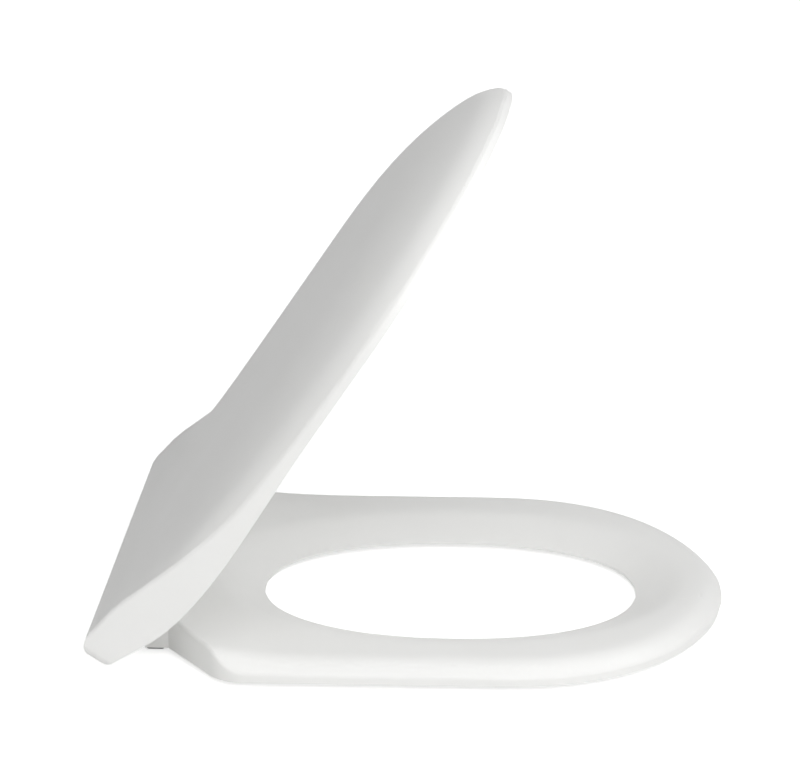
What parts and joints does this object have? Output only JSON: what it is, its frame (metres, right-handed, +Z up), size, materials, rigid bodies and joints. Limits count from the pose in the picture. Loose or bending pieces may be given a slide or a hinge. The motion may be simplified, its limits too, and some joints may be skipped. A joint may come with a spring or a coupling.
{
  "type": "toilet seat",
  "caption": "Toilet seat with a deep wrap-over lid and a pillow-section ring on a common hinge line; sockets in its hinge blocks drop over studs on the pan.",
  "frame": {"origin": "on the pan's surface, straight below the hinge line and midway between the sockets", "axes": "+X along the hinge line to the right seen from the front, -Y to the front, +Z up"},
  "size_m": [0.368, 0.4526, 0.3877],
  "materials": {
    "duroplast": "white gloss, moulded",
    "zinc": "chromed die casting",
    "steel": "turned",
    "bearing_plastic": "moulded",
    "soft_white": "matt",
    "soft_dark": "matt"
  },
  "bodies": {
    "hinge": {"hinge_block_left": "zinc", "hinge_block_right": "zinc", "socket_sleeve_left": "bearing_plastic", "socket_sleeve_right": "bearing_plastic", "hinge_pin_left": "steel", "hinge_pin_right": "steel", "grub_screw_left": "steel", "grub_screw_right": "steel"},
    "ring": {"seat_ring": "duroplast", "ring_bush_left": "bearing_plastic", "ring_bush_right": "bearing_plastic", "front_buffer_left": "soft_white", "front_buffer_right": "soft_white", "side_buffer_left": "soft_white", "side_buffer_right": "soft_white", "rear_pad_left": "soft_dark", "rear_pad_right": "soft_dark"},
    "lid": {"lid": "duroplast", "lid_damper_left": "bearing_plastic", "lid_damper_right": "bearing_plastic", "lid_front_buffer_left": "soft_white", "lid_front_buffer_right": "soft_white", "lid_rear_buffer_left": "soft_white", "lid_rear_buffer_right": "soft_white"}
  },
  "joints": [
    {"name": "ring_hinge", "type": "hinge", "parent": "hinge", "child": "ring", "pos_m": [0, 0, 0.034], "axis": [-1, 0, 0], "range_deg": [0, 95]},
    {"name": "lid_hinge", "type": "hinge", "parent": "ring", "child": "lid", "pos_m": [0, 0, 0.034], "axis": [-1, 0, 0], "range_deg": [-56, 46]}
  ]
}
